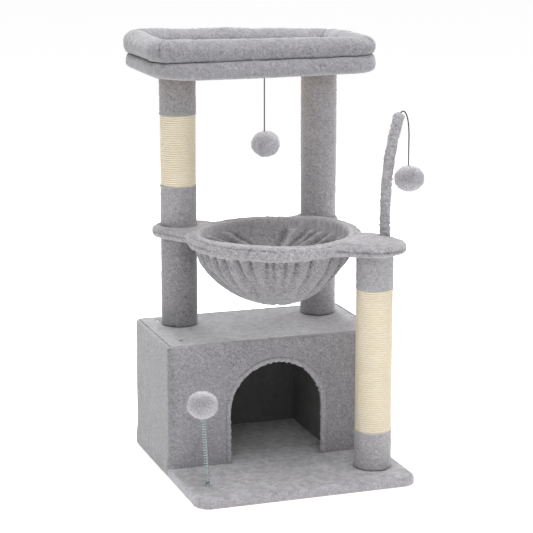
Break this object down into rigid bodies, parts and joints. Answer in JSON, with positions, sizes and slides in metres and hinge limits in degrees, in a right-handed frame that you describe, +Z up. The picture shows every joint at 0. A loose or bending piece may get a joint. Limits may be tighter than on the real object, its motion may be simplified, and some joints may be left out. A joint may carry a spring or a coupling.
{
  "type": "cat tree",
  "caption": "Plush-covered cat tree with an arched condo, sisal scratching posts, a round hammock, a bolstered perch, hanging pompoms and a spring pompom.",
  "frame": {"origin": "centre of the base's underside, on the floor", "axes": "+X to the right seen from the doorway, +Y from the doorway to the back, +Z up"},
  "size_m": [0.5265, 0.554, 0.9104],
  "materials": {
    "plush_cover": "short-pile grey plush",
    "plush_post": "short-pile grey plush sleeve",
    "plush_hammock": "short-pile grey plush, gathered",
    "plush_perch": "padded grey plush",
    "pompom": "fluffy grey pompom",
    "sisal_rope": "cream sisal rope winding",
    "board": "raw particle board and fibreboard",
    "plug_wood": "turned softwood",
    "cardboard": "spiral-wound paper tube",
    "fastener_steel": "zinc-plated",
    "spring_wire": "thin grey-green coated wire",
    "elastic_cord": "thin black elastic cord"
  },
  "bodies": {
    "frame": {"base_plush": "plush_cover", "condo_cover": "plush_cover", "doorway_binding": "plush_cover", "left_lower_plush": "plush_post", "left_upper_plush_low": "plush_post", "left_upper_plush_high": "plush_post", "right_lower_plush": "plush_post", "right_upper_plush": "plush_post", "front_plush_low": "plush_post", "front_plush_high": "plush_post", "hammock_plush": "plush_hammock", "hammock_bowl": "plush_hammock", "perch_cover": "plush_perch", "perch_bolster": "plush_perch", "left_upper_sisal": "sisal_rope", "front_sisal": "sisal_rope", "base_board": "board", "condo_wall": "board", "condo_left_panel": "board", "condo_right_panel": "board", "condo_top_board": "board", "hammock_board": "board", "perch_board": "board", "left_lower_bottom_plug": "plug_wood", "left_lower_top_plug": "plug_wood", "left_upper_bottom_plug": "plug_wood", "left_upper_top_plug": "plug_wood", "right_lower_bottom_plug": "plug_wood", "right_lower_top_plug": "plug_wood", "right_upper_bottom_plug": "plug_wood", "right_upper_top_plug": "plug_wood", "front_post_bottom_plug": "plug_wood", "front_post_top_plug": "plug_wood", "left_lower_tube": "cardboard", "left_upper_tube": "cardboard", "right_lower_tube": "cardboard", "right_upper_tube": "cardboard", "front_post_tube": "cardboard", "left_condo_bolt": "fastener_steel", "right_condo_bolt": "fastener_steel", "left_joint_stud": "fastener_steel", "right_joint_stud": "fastener_steel", "left_perch_bolt": "fastener_steel", "right_perch_bolt": "fastener_steel", "front_base_bolt": "fastener_steel", "front_plate_bolt": "fastener_steel", "condo_screw_front": "fastener_steel", "condo_screw_rear": "fastener_steel", "spring_anchor": "fastener_steel"},
    "stick": {"stick_rod": "plug_wood", "stick_sleeve": "plush_post", "stick_cord_arch": "elastic_cord"},
    "stick_toy_link": {"stick_cord_upper": "elastic_cord"},
    "stick_toy": {"stick_cord_lower": "elastic_cord", "stick_pompom": "pompom"},
    "perch_toy_link": {"perch_cord_upper": "elastic_cord"},
    "perch_toy": {"perch_cord_lower": "elastic_cord", "perch_pompom": "pompom"},
    "spring_lower": {"spring": "spring_wire"},
    "spring_toy": {"spring_pompom": "pompom"}
  },
  "joints": [
    {"name": "stick_flex", "type": "hinge", "parent": "frame", "child": "stick", "pos_m": [0.209, -0.112, 0.5], "axis": [0.3671, 0.9302, 0], "range_deg": [-8, 8], "stiffness_Nm_per_rad": 3},
    {"name": "stick_toy_swing", "type": "hinge", "parent": "stick", "child": "stick_toy_link", "pos_m": [0.252, -0.1308, 0.72], "axis": [-0.3671, -0.9302, 0], "range_deg": [-2, 30]},
    {"name": "stick_toy_sway", "type": "hinge", "parent": "stick_toy_link", "child": "stick_toy", "pos_m": [0.252, -0.1308, 0.688], "axis": [0.9302, -0.3671, 0], "range_deg": [-30, 30]},
    {"name": "perch_toy_swing", "type": "hinge", "parent": "frame", "child": "perch_toy_link", "pos_m": [0.005, 0.065, 0.8275], "axis": [1, 0, 0], "range_deg": [-30, 30]},
    {"name": "perch_toy_sway", "type": "hinge", "parent": "perch_toy_link", "child": "perch_toy", "pos_m": [0.005, 0.065, 0.79], "axis": [0, 1, 0], "range_deg": [-30, 30]},
    {"name": "spring_bend_low", "type": "hinge", "parent": "frame", "child": "spring_lower", "pos_m": [-0.1954, -0.1518, 0.055], "axis": [1, 0, 0], "range_deg": [-25, 25], "stiffness_Nm_per_rad": 0.6, "deforming": ["spring"]},
    {"name": "spring_bend_high", "type": "hinge", "parent": "spring_lower", "child": "spring_toy", "pos_m": [-0.1986, -0.1508, 0.127], "axis": [0, 1, 0], "range_deg": [-25, 25], "stiffness_Nm_per_rad": 0.4, "deforming": ["spring"]}
  ]
}
